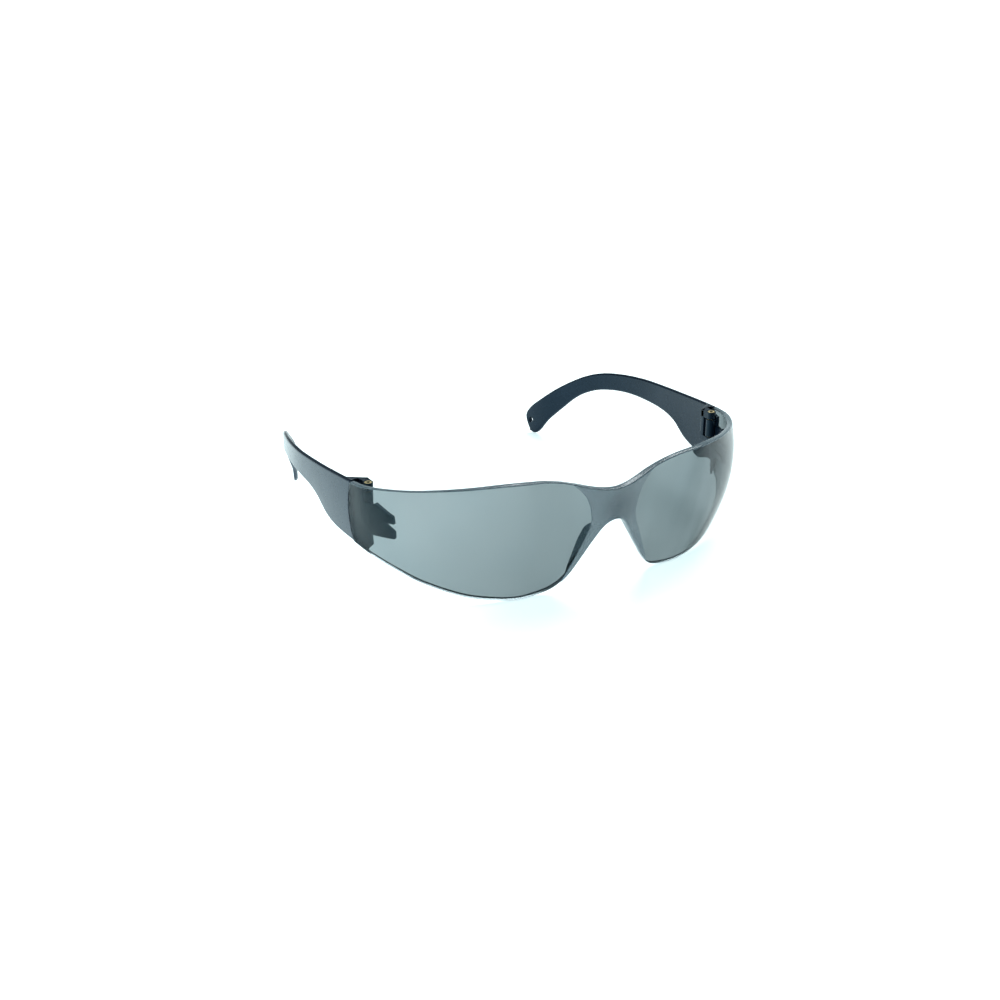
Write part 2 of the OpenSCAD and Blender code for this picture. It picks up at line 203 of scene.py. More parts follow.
# The floor, in metres: it glows most on the -X side, and whiter far away
FLOOR_RADIUS = 12.0
FLOOR_LOW, FLOOR_HIGH = (0.92, 0.925, 0.93), (0.94, 0.94, 0.94)
FLOOR_GLOW_LEFT, FLOOR_GLOW_RIGHT = 2.0, 0.76
FLOOR_GLOW_WAY = (-1.0, 0.15, 0.0)
FLOOR_GLOW_FROM, FLOOR_GLOW_TO = 0.10, 0.02
FAR_GLOW = (1.1, 1.1, 1.1)
FAR_GLOW_FROM, FAR_GLOW_TO = 0.5, 1.0
# World brightness from the horizon up to the zenith
WORLD_BANDS = [(0.0, 0.95), (0.10, 0.8), (0.25, 0.22), (0.75, 0.25), (1.0, 0.5)]
# Softboxes: name, place, size and power
SOFTBOXES = [("top_softbox", (0.55, 0.5, 1.1), 0.9, 16.0)]

# The view, in millimetres about the working origin
VIEW_AZIMUTH = math.radians(-29.66)
VIEW_ELEVATION = math.radians(22.91)
VIEW_DISTANCE = 492.96
VIEW_RIGHT = 15.08
VIEW_UP = -14.22
CAMERA_SENSOR, CAMERA_LENS = 36.0, 52.14

# Material slots of the shield; the last, the dark endpiece plastic, is painted shade on its
# rounded ends
CLEAR, FROSTED, RIM, PAINTED_END_SHADE = range(4)


# ---------------------------------------------------------------- curves
def spline(points, at):
    """Catmull-Rom curve through the points, at a place counted in spans."""
    last = len(points) - 1
    i = min(max(int(math.floor(at)), 0), last - 1)
    t = at - i
    b, c = Vector(points[i]), Vector(points[i + 1])
    a = Vector(points[i - 1]) if i > 0 else 2 * b - c
    d = Vector(points[i + 2]) if i + 1 < last else 2 * c - b
    return 0.5 * (2 * b + (c - a) * t + (2 * a - 5 * b + 4 * c - d) * t * t
                  + (3 * b - a - 3 * c + d) * t * t * t)


def both_sides(half):
    """A whole outline from its +X half."""
    return [(-p[0], p[1], p[2]) for p in reversed(half[1:])] + list(half)


def smooth(t):
    """Eases from 0 to 1."""
    t = min(max(t, 0.0), 1.0)
    return t * t * (3 - 2 * t)


TOP_LINE = both_sides(TOP_EDGE)
BOTTOM_LINE = both_sides(BOTTOM_EDGE)
END = len(TOP_EDGE) - 1   # the shield runs from span -END to span END
CAD_STEP = 1 / 3          # the CAD shield has a column every third of a span

# The parting and the floor in the CAD frame, from the temple's box and the shield's
TEMPLE_LINE = [(y, 0, z) for y, z in TEMPLE_SIDE]
REAR_REACH = max(spline(TEMPLE_LINE, k / 4).x for k in range(4 * len(TEMPLE_LINE) - 3))
PARTING_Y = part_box("left_temple")[1].y / MM - REAR_REACH
FLOOR_Z = -min(spline(BOTTOM_LINE, k / 3).z for k in range(3 * len(BOTTOM_LINE) - 2))


def place(point):
    """A working point in millimetres as a CAD-frame vector in metres."""
    return Vector((point[0], point[1] + PARTING_Y, point[2] + FLOOR_Z)) * MM


# ---------------------------------------------------------------- mesh helpers
def add_object(name, data):
    obj = bpy.data.objects.new(name, data)
    bpy.context.scene.collection.objects.link(obj)
    return obj


def mesh_object(name, verts, faces, slots=()):
    """A mesh from working points, with each face's material slot."""
    data = bpy.data.meshes.new(name)
    data.from_pydata([place(v) for v in verts], [], faces)
    for poly, slot in zip(data.polygons, slots):
        poly.material_index = slot
    return add_object(name, data)


def bmesh_object(name, bm):
    """An object from an edited mesh, which is freed."""
    data = bpy.data.meshes.new(name)
    bm.to_mesh(data)
    bm.free()
    return add_object(name, data)


def finish_mesh(obj, sharp_deg=35.0):
    """Welds, points the faces outwards and marks the sharp edges."""
    bm = bmesh.new()
    bm.from_mesh(obj.data)
    bmesh.ops.remove_doubles(bm, verts=bm.verts, dist=WELD)
    bmesh.ops.dissolve_degenerate(bm, edges=bm.edges, dist=WELD / 2)
    bmesh.ops.recalc_face_normals(bm, faces=bm.faces)
    limit = math.radians(sharp_deg)
    for face in bm.faces:
        face.smooth = True
    for edge in bm.edges:
        edge.smooth = edge.is_manifold and edge.calc_face_angle(0.0) < limit
    bm.to_mesh(obj.data)
    bm.free()


def give(obj, *materials):
    for material in materials:
        obj.data.materials.append(material)


def mirrored(obj, name):
    """A copy of the object on the other side."""
    data = obj.data.copy()
    data.name = name
    data.transform(Matrix.Scale(-1, 4, (1, 0, 0)))
    data.flip_normals()
    return add_object(name, data)


def ring_strip(rings):
    """Faces between rings of the same length, each ring closed, with end caps."""
    count = len(rings[0])
    verts = [p for ring in rings for p in ring]
    faces = []
    for k in range(len(rings) - 1):
        for i in range(count):
            j = (i + 1) % count
            faces.append((k * count + i, k * count + j, (k + 1) * count + j,
                          (k + 1) * count + i))
    for base, flip in ((0, True), ((len(rings) - 1) * count, False)):
        for i in range(count // 2 - 1):
            quad = [base + i, base + i + 1, base + count - 2 - i, base + count - 1 - i]
            faces.append(tuple(reversed(quad)) if flip else tuple(quad))
    return verts, faces


# ---------------------------------------------------------------- shield
def edge_height(u):
    """Height of the shield at a span."""
    return spline(TOP_LINE, u + END).z - spline(BOTTOM_LINE, u + END).z


def outward(u):
    """Level direction that points away from the head."""
    a, b = max(-END, u - CAD_STEP) + END, min(END, u + CAD_STEP) + END
    along = (spline(TOP_LINE, b) - spline(TOP_LINE, a)
             + spline(BOTTOM_LINE, b) - spline(BOTTOM_LINE, a))
    return Vector((along.y, -along.x, 0)).normalized()


def plain(u, v):
    """Front of the shield before the bridge's rise, at a span and a share of height."""
    low, high = spline(BOTTOM_LINE, u + END), spline(TOP_LINE, u + END)
    bulge = SHIELD_BULGE * ((high.z - low.z) / SHIELD_TALL) ** 2
    from_end = min(END - abs(u), WRAP_SPANS)
    bulge += WRAP_BULGE * math.sin(math.pi * from_end / WRAP_SPANS) ** 2
    bow = END_BOW * smooth(1 - (END - abs(u)) / END_SPANS)
    return low + (high - low) * v + (outward(u) * bulge + Vector((0, bow, 0))) * 4 * v * (1 - v)


def normal(u, v):
    """Direction square to that front, turned into the parting plane at the ends."""
    a, b = plain(max(-END, u - CAD_STEP), v), plain(min(END, u + CAD_STEP), v)
    low, high = plain(u, max(0.0, v - SLOPE_STEP)), plain(u, min(1.0, v + SLOPE_STEP))
    square = (b - a).cross(high - low)
    square.y *= min(1.0, (END - abs(u)) / CAD_STEP)
    return square.normalized()


def thickness(u):
    share = spline(TOP_LINE, u + END).x / TOP_EDGE[-1][0]
    return SHIELD_T + (SHIELD_END_T - SHIELD_T) * share ** 2


def bridge_x(z):
    """Distance of the frosted zone's edge from the middle, at a height."""
    for (x0, z0), (x1, z1) in zip(BRIDGE_EDGE, BRIDGE_EDGE[1:]):
        if z <= z1:
            break
    return x0 + (x1 - x0) * (z - z0) / (z1 - z0)


def half_profile(u):
    """Half of the shield's cross-section at a span: (share of height, depth behind the
    front), from the middle of the bottom edge to the middle of the top edge."""
    height, depth = edge_height(u), thickness(u)
    angles = [math.pi / 2 * k / EDGE_TURNS for k in range(EDGE_TURNS + 1)]
    start = EDGE_R / height
    support = EDGE_SUPPORT / height
    low = [(0.0, depth / 2)]
    low += [(start * (1 - math.cos(a)), EDGE_R * (1 - math.sin(a))) for a in angles]
    low.append((start + support, 0.0))
    inner = [start + support + (1 - 2 * start - 2 * support) * k / SHIELD_ROWS
             for k in range(1, SHIELD_ROWS)]
    return low + [(v, 0.0) for v in inner] + [(1 - v, d) for v, d in reversed(low)]


def bridge_span(row):
    """Span at which a row of the cross-section meets the frosted zone's edge, found by
    halving."""
    low, high = EDGE_SEARCH
    for _ in range(24):
        middle = (low + high) / 2
        p = plain(middle, half_profile(middle)[row][0])
        if p.x < bridge_x(p.z):
            low = middle
        else:
            high = middle
    return low


def shield_ring(spans, rise, shrink):
    """Closed ring of points round the shield, each row at its own span."""
    front, back = [], []
    for row, u in enumerate(spans):
        v, d = half_profile(u)[row]
        depth = thickness(u)
        d = shrink + d * (1 - 2 * shrink / depth)
        base, out = plain(u, v), normal(u, v)
        front.append(base + out * (rise * (1 - d / depth) - d))
        back.append(base - out * (depth - d))
    return front + back[::-1]


def strip_slots(out, last, rows):
    """Material slots round a strip of the shield, at its number out from the middle. The step at
    the edge of the frosted bridge has the rim's finish, with its painted highlight."""
    # The rounded ends take the dark endpiece plastic: painted shade in the joint at the parting
    if out >= last - EDGE_TURNS:
        return [PAINTED_END_SHADE] * (2 * rows)
    front = FROSTED if out < FROST_COLUMNS else RIM if out == FROST_COLUMNS else CLEAR
    slots = [front] * rows + [CLEAR] * rows
    for i in range(2 * rows):
        if min(abs(i + 1 - turn) for turn in (0, rows, 2 * rows)) <= EDGE_TURNS + 1:
            slots[i] = RIM
    return slots


def make_shield():
    rows = len(half_profile(0.0))
    edge = [bridge_span(row) for row in range(rows)]
    step = BRIDGE_STEP / SPAN_MM
    rings = [shield_ring([c * e for e in edge], BRIDGE_RISE, 0.0)
             for c in [k / FROST_COLUMNS for k in range(FROST_COLUMNS + 1)]]
    last = END - END_R / END_SPAN_MM
    for k in range(LENS_COLUMNS + 1):
        share = k / LENS_COLUMNS
        rings.append(shield_ring([e + step + (last - e - step) * share for e in edge], 0.0, 0.0))
    for k in range(1, EDGE_TURNS + 1):
        turn = math.pi / 2 * k / EDGE_TURNS
        u = last + END_R * math.sin(turn) / END_SPAN_MM
        rings.append(shield_ring([min(u, END)] * rows, 0.0, END_R * (1 - math.cos(turn))))
    flipped = [[Vector((-p.x, p.y, p.z)) for p in ring] for ring in rings[:0:-1]]
    verts, faces = ring_strip(flipped + rings)
    middle = len(flipped)
    slots = []
    for k in range(2 * middle):
        slots += strip_slots(max(k - middle, middle - 1 - k), middle, rows)
    # The end caps take the same painted shade
    slots += [PAINTED_END_SHADE] * (len(faces) - len(slots))
    return mesh_object("shield", verts, faces, slots)


def leaf(t):
    """Share of the nose flange's depth, down its length from the bridge."""
    rise = math.sin(math.pi / 2 * min(1.0, t / FLANGE_RISE))
    return math.sqrt(rise) * math.cos(math.pi / 2 * t) ** FLANGE_TAPER


def inner_edge(u):
    """Inner corner of the shield's bottom edge."""
    return plain(u, 0) - normal(u, 0) * thickness(u)


def make_flange():
    """Nose flange behind the +X nose edge, a leaf with rounded edges."""
    way = Vector((FLANGE_FLARE, 1, 0)).normalized()
    turns = [math.pi / 2 * i / EDGE_TURNS for i in range(EDGE_TURNS + 1)]
    rings = []
    for k in range(FLANGE_STATIONS + 1):
        share = k / FLANGE_STATIONS
        u = FLANGE_SPANS[0] + (FLANGE_SPANS[1] - FLANGE_SPANS[0]) * share
        along = (inner_edge(u + SLOPE_STEP) - inner_edge(u - SLOPE_STEP)).normalized()
        side = along.cross(way).normalized()
        root = plain(u, 0) * (1 - FLANGE_ROOT) + inner_edge(u) * FLANGE_ROOT
        reach = FLANGE_DEPTH * leaf(share * (1 - 2 * FLANGE_ENDS) + FLANGE_ENDS)
        tip = inner_edge(u) + way * reach
        width = FLANGE_T * min(1.0, FLANGE_END_T + FLANGE_THICKEN * min(share, 1 - share))
        r = FLANGE_EDGE_R * min(1.0, width)
        ring = [root + side * BITE]
        for turn in turns:
            ring.append(tip + side * (BITE + r * (1 - math.cos(turn)))
                        - way * r * (1 - math.sin(turn)))
        for turn in turns:
            ring.append(tip + side * (width - r * (1 - math.sin(turn)))
                        - way * r * (1 - math.cos(turn)))
        ring.append(root + side * width)
        rings.append(ring)
    verts, faces = ring_strip(rings)
    # The flange takes the rim's finish too, with its painted highlight
    return mesh_object("flange", verts, faces, [RIM] * len(faces))


def combine(base, other, operation):
    """Changes the base by a Boolean operation with the other solid, which it uses up."""
    change = base.modifiers.new("change", "BOOLEAN")
    change.operation = operation
    change.solver = "EXACT"
    change.use_self = True
    change.object = other
    graph = bpy.context.evaluated_depsgraph_get()
    data = bpy.data.meshes.new_from_object(base.evaluated_get(graph), depsgraph=graph)
    base.modifiers.clear()
    base.data = data
    bpy.data.objects.remove(other)


def union(base, other):
    """Joins the other solid into the base."""
    combine(base, other, "UNION")


def cut(base, tool):
    """Takes the tool's volume out of the base."""
    combine(base, tool, "DIFFERENCE")


# ---------------------------------------------------------------- temple
def side_point(at):
    return spline(TEMPLE_LINE, at)


REAR_CENTRE = (HALF_WIDTH - REAR_BEND_R, WIDEST_Y)
FLARE_CENTRE = (REAR_CENTRE[0] + (REAR_BEND_R + FLARE_R) * math.cos(BEND_TURN),
                REAR_CENTRE[1] + (REAR_BEND_R + FLARE_R) * math.sin(BEND_TURN))


def wall_x(y, depth):
    """Distance of the temple's wall from the middle, at a depth below its outer face."""
    if y < WIDEST_Y:
        reach = math.sqrt((FRONT_BEND_R - depth) ** 2 - (y - WIDEST_Y) ** 2)
        return HALF_WIDTH - FRONT_BEND_R + reach
    if y < WIDEST_Y + (REAR_BEND_R - depth) * math.sin(BEND_TURN):
        return REAR_CENTRE[0] + math.sqrt((REAR_BEND_R - depth) ** 2 - (y - WIDEST_Y) ** 2)
    return FLARE_CENTRE[0] - math.sqrt((FLARE_R + depth) ** 2 - (y - FLARE_CENTRE[1]) ** 2)


def front_crown(y, share):
    """Small bulge of the temple's front end that meets the shield's own bulge."""
    return TEMPLE_CROWN * smooth(1 - y / CROWN_LENGTH) * 4 * share * (1 - share)


def temple_stations():
    """Pairs of places on the upper and the lower line of the side outline, closer together
    towards the tip."""
    fine = OUTLINE_STEPS
    lines = []
    for first, last in ((0.0, TEMPLE_TIP), (len(TEMPLE_SIDE) - 1.0, TEMPLE_TIP)):
        places = [first + (last - first) * k / fine for k in range(fine + 1)]
        walked = [0.0]
        for a, b in zip(places, places[1:]):
            walked.append(walked[-1] + (side_point(b) - side_point(a)).length)
        line = []
        for k in range(TEMPLE_STATIONS + 1):
            share = k / TEMPLE_STATIONS
            goal = walked[-1] * (1 - (1 - share) ** TIP_CROWDING)
            i = max(j for j in range(fine + 1) if walked[j] <= goal + 1e-9)
            i = min(i, fine - 1)
            part = (goal - walked[i]) / (walked[i + 1] - walked[i])
            line.append(places[i] + (places[i + 1] - places[i]) * part)
        lines.append(line)
    return list(zip(*lines))


def inward(at):
    """Direction square to the side outline and into the temple."""
    along = side_point(min(at + 0.02, len(TEMPLE_SIDE) - 1)) - side_point(max(at - 0.02, 0))
    along.normalize()
    return Vector((along.z, 0, -along.x))


def temple_ring(top_at, bottom_at, shift_y, shrink):
    """Closed ring of points round the temple's wall, from the outline's lower line up the
    outer face to the upper line and back down the inner face."""
    top, bottom = side_point(top_at), side_point(bottom_at)
    room = max((top - bottom).length / 2 - 0.02, 0.0)
    r = min(TEMPLE_R, room)
    bow = END_BOW * smooth(1 - top.x / BOW_LENGTH)
    trim = PARTING_TRIM * smooth(1 - top.x / BOW_LENGTH)

    def point(p, share, depth):
        y = p.x + shift_y + trim + bow * 4 * share * (1 - share)
        depth = shrink + depth * (1 - 2 * shrink / WALL_T)
        return Vector((wall_x(y, depth) + front_crown(y, share), y, p.z))

    def rounding(corner, into, share):
        turns = [math.pi / 2 * k / TEMPLE_ROUND_STEPS for k in range(TEMPLE_ROUND_STEPS + 1)]
        return [(corner + into * shrink, share, WALL_T / 2)] + [
            (corner + into * (shrink + r * (1 - math.cos(a))), share,
             TEMPLE_R * (1 - math.sin(a))) for a in turns]

    low = rounding(bottom, inward(bottom_at), 0.0)
    high = rounding(top, inward(top_at), 1.0)
    a, b = low[-1][0], high[-1][0]
    span = max((b - a).length, 1e-6)
    support = min(TEMPLE_SUPPORT / span, 0.3)
    shares = [support + (1 - 2 * support) * k / TEMPLE_FACE_STEPS
              for k in range(TEMPLE_FACE_STEPS)]
    shares.append(1 - support)
    half = low + [(a + (b - a) * s, s, 0.0) for s in shares] + high[::-1]
    front = [point(*h) for h in half]
    back = [point(p, s, WALL_T - d) for p, s, d in half]
    return front + back[::-1]


def make_temple_wall():
    """The temple's bent wall, with a shallow dish in its front end."""
    stations = temple_stations()
    rings = []
    for k in range(TEMPLE_ROUND_STEPS):
        dip = TEMPLE_DISH * (1 - math.sin(math.pi / 2 * k / TEMPLE_ROUND_STEPS))
        rings.append(temple_ring(*stations[0], dip, dip))
    rings.append(temple_ring(*stations[0], TEMPLE_DISH, 0.0))
    rings += [temple_ring(*station, 0.0, 0.0) for station in stations[1:]]
    verts, faces = ring_strip(rings)
    return mesh_object("temple", verts, faces)


def round_edges(bm, edges, radius):
    bmesh.ops.bevel(bm, geom=list(edges), offset=radius, segments=2, profile=0.5,
                    affect="EDGES", clamp_overlap=True)


def prism(name, outline, low, high, edge_r=0.0):
    """A standing prism of a plan outline, with its edges rounded."""
    bm = bmesh.new()
    bottom = [bm.verts.new(place((x, y, low))) for x, y in outline]
    top = [bm.verts.new(place((x, y, high))) for x, y in outline]
    bm.faces.new(bottom[::-1])
    bm.faces.new(top)
    for i in range(len(outline)):
        j = (i + 1) % len(outline)
        bm.faces.new((bottom[i], bottom[j], top[j], top[i]))
    if edge_r:
        round_edges(bm, bm.edges, edge_r * MM)
    return bmesh_object(name, bm)


def turned(name, centre, profile, steps):
    """A body turned about a standing axis; the profile is (radius, height), closed."""
    verts, faces = [], []
    count = len(profile)
    for k in range(steps):
        angle = 2 * math.pi * k / steps
        for radius, z in profile:
            verts.append(Vector((centre[0] + radius * math.cos(angle),
                                 centre[1] + radius * math.sin(angle), z)))
    for k in range(steps):
        n = (k + 1) % steps
        for i in range(count):
            j = (i + 1) % count
            faces.append((k * count + i, n * count + i, n * count + j, k * count + j))
    return mesh_object(name, verts, faces)


def turned_solid(name, centre, profile, steps=48):
    """A turned body that is ready to join or to cut with."""
    body = turned(name, centre, profile, steps)
    finish_mesh(body)
    return body


def tube_profile(outer, inner, low, high):
    """Cross-section of a tube whose rims are chamfered; its last sides face the bore."""
    edge = RIM_CHAMFER
    return [(inner + edge, low), (outer - edge, low), (outer, low + edge),
            (outer, high - edge), (outer - edge, high), (inner + edge, high),
            (inner, high - edge), (inner, low + edge)]


def ear_arc(start, turn, steps):
    """Points along an ear's rim, without the one at the starting angle."""
    angles = [start + turn * k / steps for k in range(1, steps + 1)]
    return [(AXIS_X + EAR_R * math.cos(a), -AXIS_AHEAD + EAR_R * math.sin(a)) for a in angles]


def ear_outline():
    """Plan of an ear: a round end on the axis and a web back to the block."""
    rim = ear_arc(math.pi, math.pi, 24) + ear_arc(0, math.acos(EAR_WEB / EAR_R), 4)
    web = [(AXIS_X + EAR_WEB, EAR_WEB_END), (BLOCK_IN, EAR_WEB_END)]
    return [(BLOCK_IN, -AXIS_AHEAD)] + rim + web


def make_hinge_block():
    """The block inside the temple's front end, with its slot and its two bored ears."""
    step_x, step_y = BLOCK_STEP
    plan = [(BLOCK_IN, BLOCK_FRONT_Y), (BLOCK_OUT, BLOCK_FRONT_Y), (BLOCK_OUT, step_y),
            (step_x, step_y), (step_x, BLOCK_RAMP[0]), (BLOCK_IN, BLOCK_RAMP[1])]
    block = prism("block", plan, EAR_LOW, EAR_HIGH, BLOCK_EDGE_R)
    for low, high in ((EAR_LOW, KNUCKLE_LOW - EAR_GAP), (KNUCKLE_HIGH + EAR_GAP, EAR_HIGH)):
        union(block, prism("ear", ear_outline(), low, high, RIM_CHAMFER))
    front, rear = SLOT_DEPTHS
    slot_plan = [(BLOCK_IN - 1, front), (BLOCK_IN + SLOT_REACH, front),
                 (BLOCK_IN + SLOT_REACH, rear), (BLOCK_IN - 1, rear)]
    cut(block, prism("slot", slot_plan, *SLOT_HEIGHTS))
    bore = PIN_R + PIN_CLEAR
    wide = bore + BORE_FLARE
    profile = [(0.0, EAR_LOW - 1), (wide, EAR_LOW - 1), (bore, EAR_LOW + 0.1),
               (bore, EAR_HIGH - 0.1), (wide, EAR_HIGH + 1), (0.0, EAR_HIGH + 1)]
    cut(block, turned_solid("bore", HINGE, profile))
    return block


def make_cord_hole_tool():
    """Spool that cuts the cord hole and chamfers both its rims."""
    outer, inner = wall_x(CORD_HOLE[0], 0), wall_x(CORD_HOLE[0], WALL_T)
    reach = (outer - inner) / 2
    rim = CORD_HOLE_CHAMFER
    wide = CORD_HOLE_R + rim + 1
    profile = [(0.0, -reach - 1), (wide, -reach - 1), (CORD_HOLE_R, -reach + rim),
               (CORD_HOLE_R, reach - rim), (wide, reach + 1), (0.0, reach + 1)]
    tool = turned_solid("hole", (0, 0), profile, 40)
    base = place((0, 0, 0))
    tool.data.transform(Matrix.Translation(-base))
    swing = Matrix.Rotation(math.pi / 2, 4, "Y")
    centre = place(((outer + inner) / 2, *CORD_HOLE))
    tool.data.transform(Matrix.Translation(centre) @ swing)
    return tool


def make_temple():
    wall = make_temple_wall()
    finish_mesh(wall)
    cut(wall, make_cord_hole_tool())
    union(wall, make_hinge_block())
    finish_mesh(wall, MOULDED_SHARP)
    return wall


# ---------------------------------------------------------------- endpiece and pin
PLATE_WAY = Vector((math.cos(PLATE_TURN), math.sin(PLATE_TURN), 0))


def on_plate(forward, height, depth):
    """Point at a distance forward of the parting and a height, at a depth below the
    shield's inner face. A first guess at its span is mended step by step."""
    parting = Vector((TOP_EDGE[-1][0], 0, 0))
    u, v = END - max(forward, 0.0) / GUESS_SPAN_MM, 0.5
    for _ in range(8):
        p = plain(u, v)
        u += ((p - parting).dot(PLATE_WAY) - forward) / PLATE_SPAN_MM
        v -= (p.z - height) / edge_height(min(max(u, 0), END))
        u = min(u, END)
    return plain(u, v) - normal(min(u, END), min(max(v, 0.0), 1.0)) * (thickness(u) + depth)


def make_plate():
    """The endpiece's plate: its outline with rounded edges, laid on the shield's inside."""
    bm = bmesh.new()
    near = [bm.verts.new((f, z, PLATE_GAP)) for f, z in PLATE_OUTLINE]
    far = [bm.verts.new((f, z, PLATE_GAP + PLATE_T)) for f, z in PLATE_OUTLINE]
    bm.faces.new(near)
    bm.faces.new(far[::-1])
    for i in range(len(near)):
        j = (i + 1) % len(near)
        bm.faces.new((near[j], near[i], far[i], far[j]))
    bmesh.ops.recalc_face_normals(bm, faces=bm.faces)
    round_edges(bm, bm.edges, PLATE_EDGE_R)
    for line in RIDGES:
        add_ridge(bm, *line)
    for way, (spacing, steps) in (((1, 0, 0), PLATE_CUTS), ((0, 1, 0), PLATE_LEVELS)):
        for step in range(*steps):
            everything = list(bm.verts) + list(bm.edges) + list(bm.faces)
            bmesh.ops.bisect_plane(bm, geom=everything, plane_co=Vector(way) * step * spacing,
                                   plane_no=way, dist=1e-5)
    for vert in bm.verts:
        vert.co = place(on_plate(*vert.co))
    return bmesh_object("plate", bm)


def add_ridge(bm, start, end):
    """Rounded ridge along a finger, as its own closed solid rooted in the plate."""
    a, b = Vector((*start, 0)), Vector((*end, 0))
    along = (b - a).normalized()
    off = Vector((-along.y, along.x, 0)) * RIDGE_W / 2
    root, crest = PLATE_GAP + PLATE_T - RIDGE_ROOT, PLATE_GAP + PLATE_T + RIDGE_H
    corners = [a - off, b - off, b + off, a + off]
    low = [bm.verts.new((p.x, p.y, root)) for p in corners]
    high = [bm.verts.new((p.x, p.y, crest)) for p in corners]
    faces = [bm.faces.new(low), bm.faces.new(high[::-1])]
    for i in range(4):
        j = (i + 1) % 4
        faces.append(bm.faces.new((low[j], low[i], high[i], high[j])))
    bmesh.ops.recalc_face_normals(bm, faces=faces)
    # Each edge once and in a fixed order, so that every run gives the same mesh
    edges = dict.fromkeys(e for f in faces for e in f.edges)
    round_edges(bm, edges, RIDGE_EDGE_R)


def make_endpiece():
    """The plate with its knuckle, cleared for the temple's ears and bored for the pin."""
    plate = make_plate()
    bore_r, relief_r = PIN_R + PIN_SEAT, EAR_R + KNUCKLE_RELIEF
    tube = tube_profile(KNUCKLE_R, bore_r, KNUCKLE_LOW, KNUCKLE_HIGH)
    knuckle = turned_solid("knuckle", HINGE, tube)
    for low in (EAR_LOW - EAR_GAP, KNUCKLE_HIGH):
        high = low + KNUCKLE_LOW - EAR_LOW + EAR_GAP
        relief = [(0.0, low), (relief_r, low), (relief_r, high), (0.0, high)]
        cut(plate, turned_solid("relief", HINGE, relief))
    bore = [(0.0, EAR_LOW), (bore_r, EAR_LOW), (bore_r, EAR_HIGH), (0.0, EAR_HIGH)]
    cut(plate, turned_solid("bore", HINGE, bore))
    union(plate, knuckle)
    finish_mesh(plate, MOULDED_SHARP)
    return plate


def make_pin():
    """Tubular pin; the wall of its hole takes the second material, the dark endpiece plastic, as
    painted shade in the bore.
    """
    profile = tube_profile(PIN_R, PIN_HOLE_R, EAR_LOW, EAR_HIGH)
    pin = turned("pin", HINGE, profile, PIN_SIDES)
    for poly in pin.data.polygons:
        # The bore's sides take the second material: painted shade
        poly.material_index = int(poly.index % len(profile) >= len(profile) - TUBE_BORE_SIDES)
    finish_mesh(pin)
    return pin


# ---------------------------------------------------------------- materials
def new_material(name):
    material = bpy.data.materials.new(name)
    material.use_nodes = True
    nodes = material.node_tree.nodes
    return material, nodes, material.node_tree.links, nodes["Principled BSDF"]


def noise(nodes, links, scale, detail=3.0, rough=0.5):
    """Noise over the object's own coordinates, in cycles per metre."""
    where = nodes.new("ShaderNodeTexCoord")
    texture = nodes.new("ShaderNodeTexNoise")
    texture.inputs["Scale"].default_value = scale
    texture.inputs["Detail"].default_value = detail
    texture.inputs["Roughness"].default_value = rough
    links.new(where.outputs["Object"], texture.inputs["Vector"])
    return texture


def ramp(nodes, links, source, stops):
    """Colours along a 0 to 1 source: (place, (r, g, b))."""
    node = nodes.new("ShaderNodeValToRGB")
    elements = node.color_ramp.elements
    while len(elements) < len(stops):
        elements.new(0.5)
    for element, (at, colour) in zip(elements, stops):
        element.position = at
        element.color = (*colour, 1)
    links.new(source, node.inputs["Fac"])
    return node


def spread(nodes, links, source, low, high):
    """Maps a 0 to 1 source to a range."""
    node = nodes.new("ShaderNodeMapRange")
    node.inputs["To Min"].default_value = low
    node.inputs["To Max"].default_value = high
    links.new(source, node.inputs["Value"])
    return node


def bump(nodes, links, shader, height, distance, strength=1.0):
    """Raises the surface with a 0 to 1 source, by a distance in metres."""
    node = nodes.new("ShaderNodeBump")
    node.inputs["Strength"].default_value = strength
    node.inputs["Distance"].default_value = distance
    links.new(height, node.inputs["Height"])
    links.new(node.outputs["Normal"], shader.inputs["Normal"])


def paint(nodes, links, shader, source, stops):
    """Colours the surface along a 0 to 1 source."""
    links.new(ramp(nodes, links, source, stops).outputs["Color"], shader.inputs["Base Color"])


def roughen(nodes, links, shader, source, low, high):
    """Varies the roughness with a 0 to 1 source."""
    links.new(spread(nodes, links, source, low, high).outputs["Result"],
              shader.inputs["Roughness"])


def let_lamps_through(nodes, links, shader, tint):
    """Glass that shadow rays pass through with its tint."""
    path = nodes.new("ShaderNodeLightPath")
    clear = nodes.new("ShaderNodeBsdfTransparent")
    clear.inputs["Color"].default_value = (*tint, 1)
    mix = nodes.new("ShaderNodeMixShader")
    links.new(path.outputs["Is Shadow Ray"], mix.inputs["Fac"])
    links.new(shader.outputs["BSDF"], mix.inputs[1])
    links.new(clear.outputs["BSDF"], mix.inputs[2])
    links.new(mix.outputs["Shader"], nodes["Material Output"].inputs["Surface"])


def tint_the_inside(nodes, links):
    """Dye through the plastic, which darkens long paths more than short ones."""
    dye = nodes.new("ShaderNodeVolumeAbsorption")
    dye.inputs["Color"].default_value = (*DYE_COLOUR, 1)
    dye.inputs["Density"].default_value = DYE_DENSITY
    links.new(dye.outputs["Volume"], nodes["Material Output"].inputs["Volume"])


def lens_material():
    """Clear grey-tinted polycarbonate with faint flow and wiping marks."""
    material, nodes, links, shader = new_material("tinted_lens")
    tint_the_inside(nodes, links)
    cloud = noise(nodes, links, 45.0, 2.0)
    paint(nodes, links, shader, cloud.outputs["Fac"],
          [(0.3, LENS_TINT_LOW), (0.7, LENS_TINT_HIGH)])
    haze = noise(nodes, links, 900.0, 4.0)
    roughen(nodes, links, shader, haze.outputs["Fac"], 0.01, 0.06)
    shader.inputs["Transmission Weight"].default_value = 1.0
    shader.inputs["Specular Tint"].default_value = (*GLOSS_TINT, 1)
    shader.inputs["IOR"].default_value = 1.27
    let_lamps_through(nodes, links, shader, LENS_SHADOW)
    return material


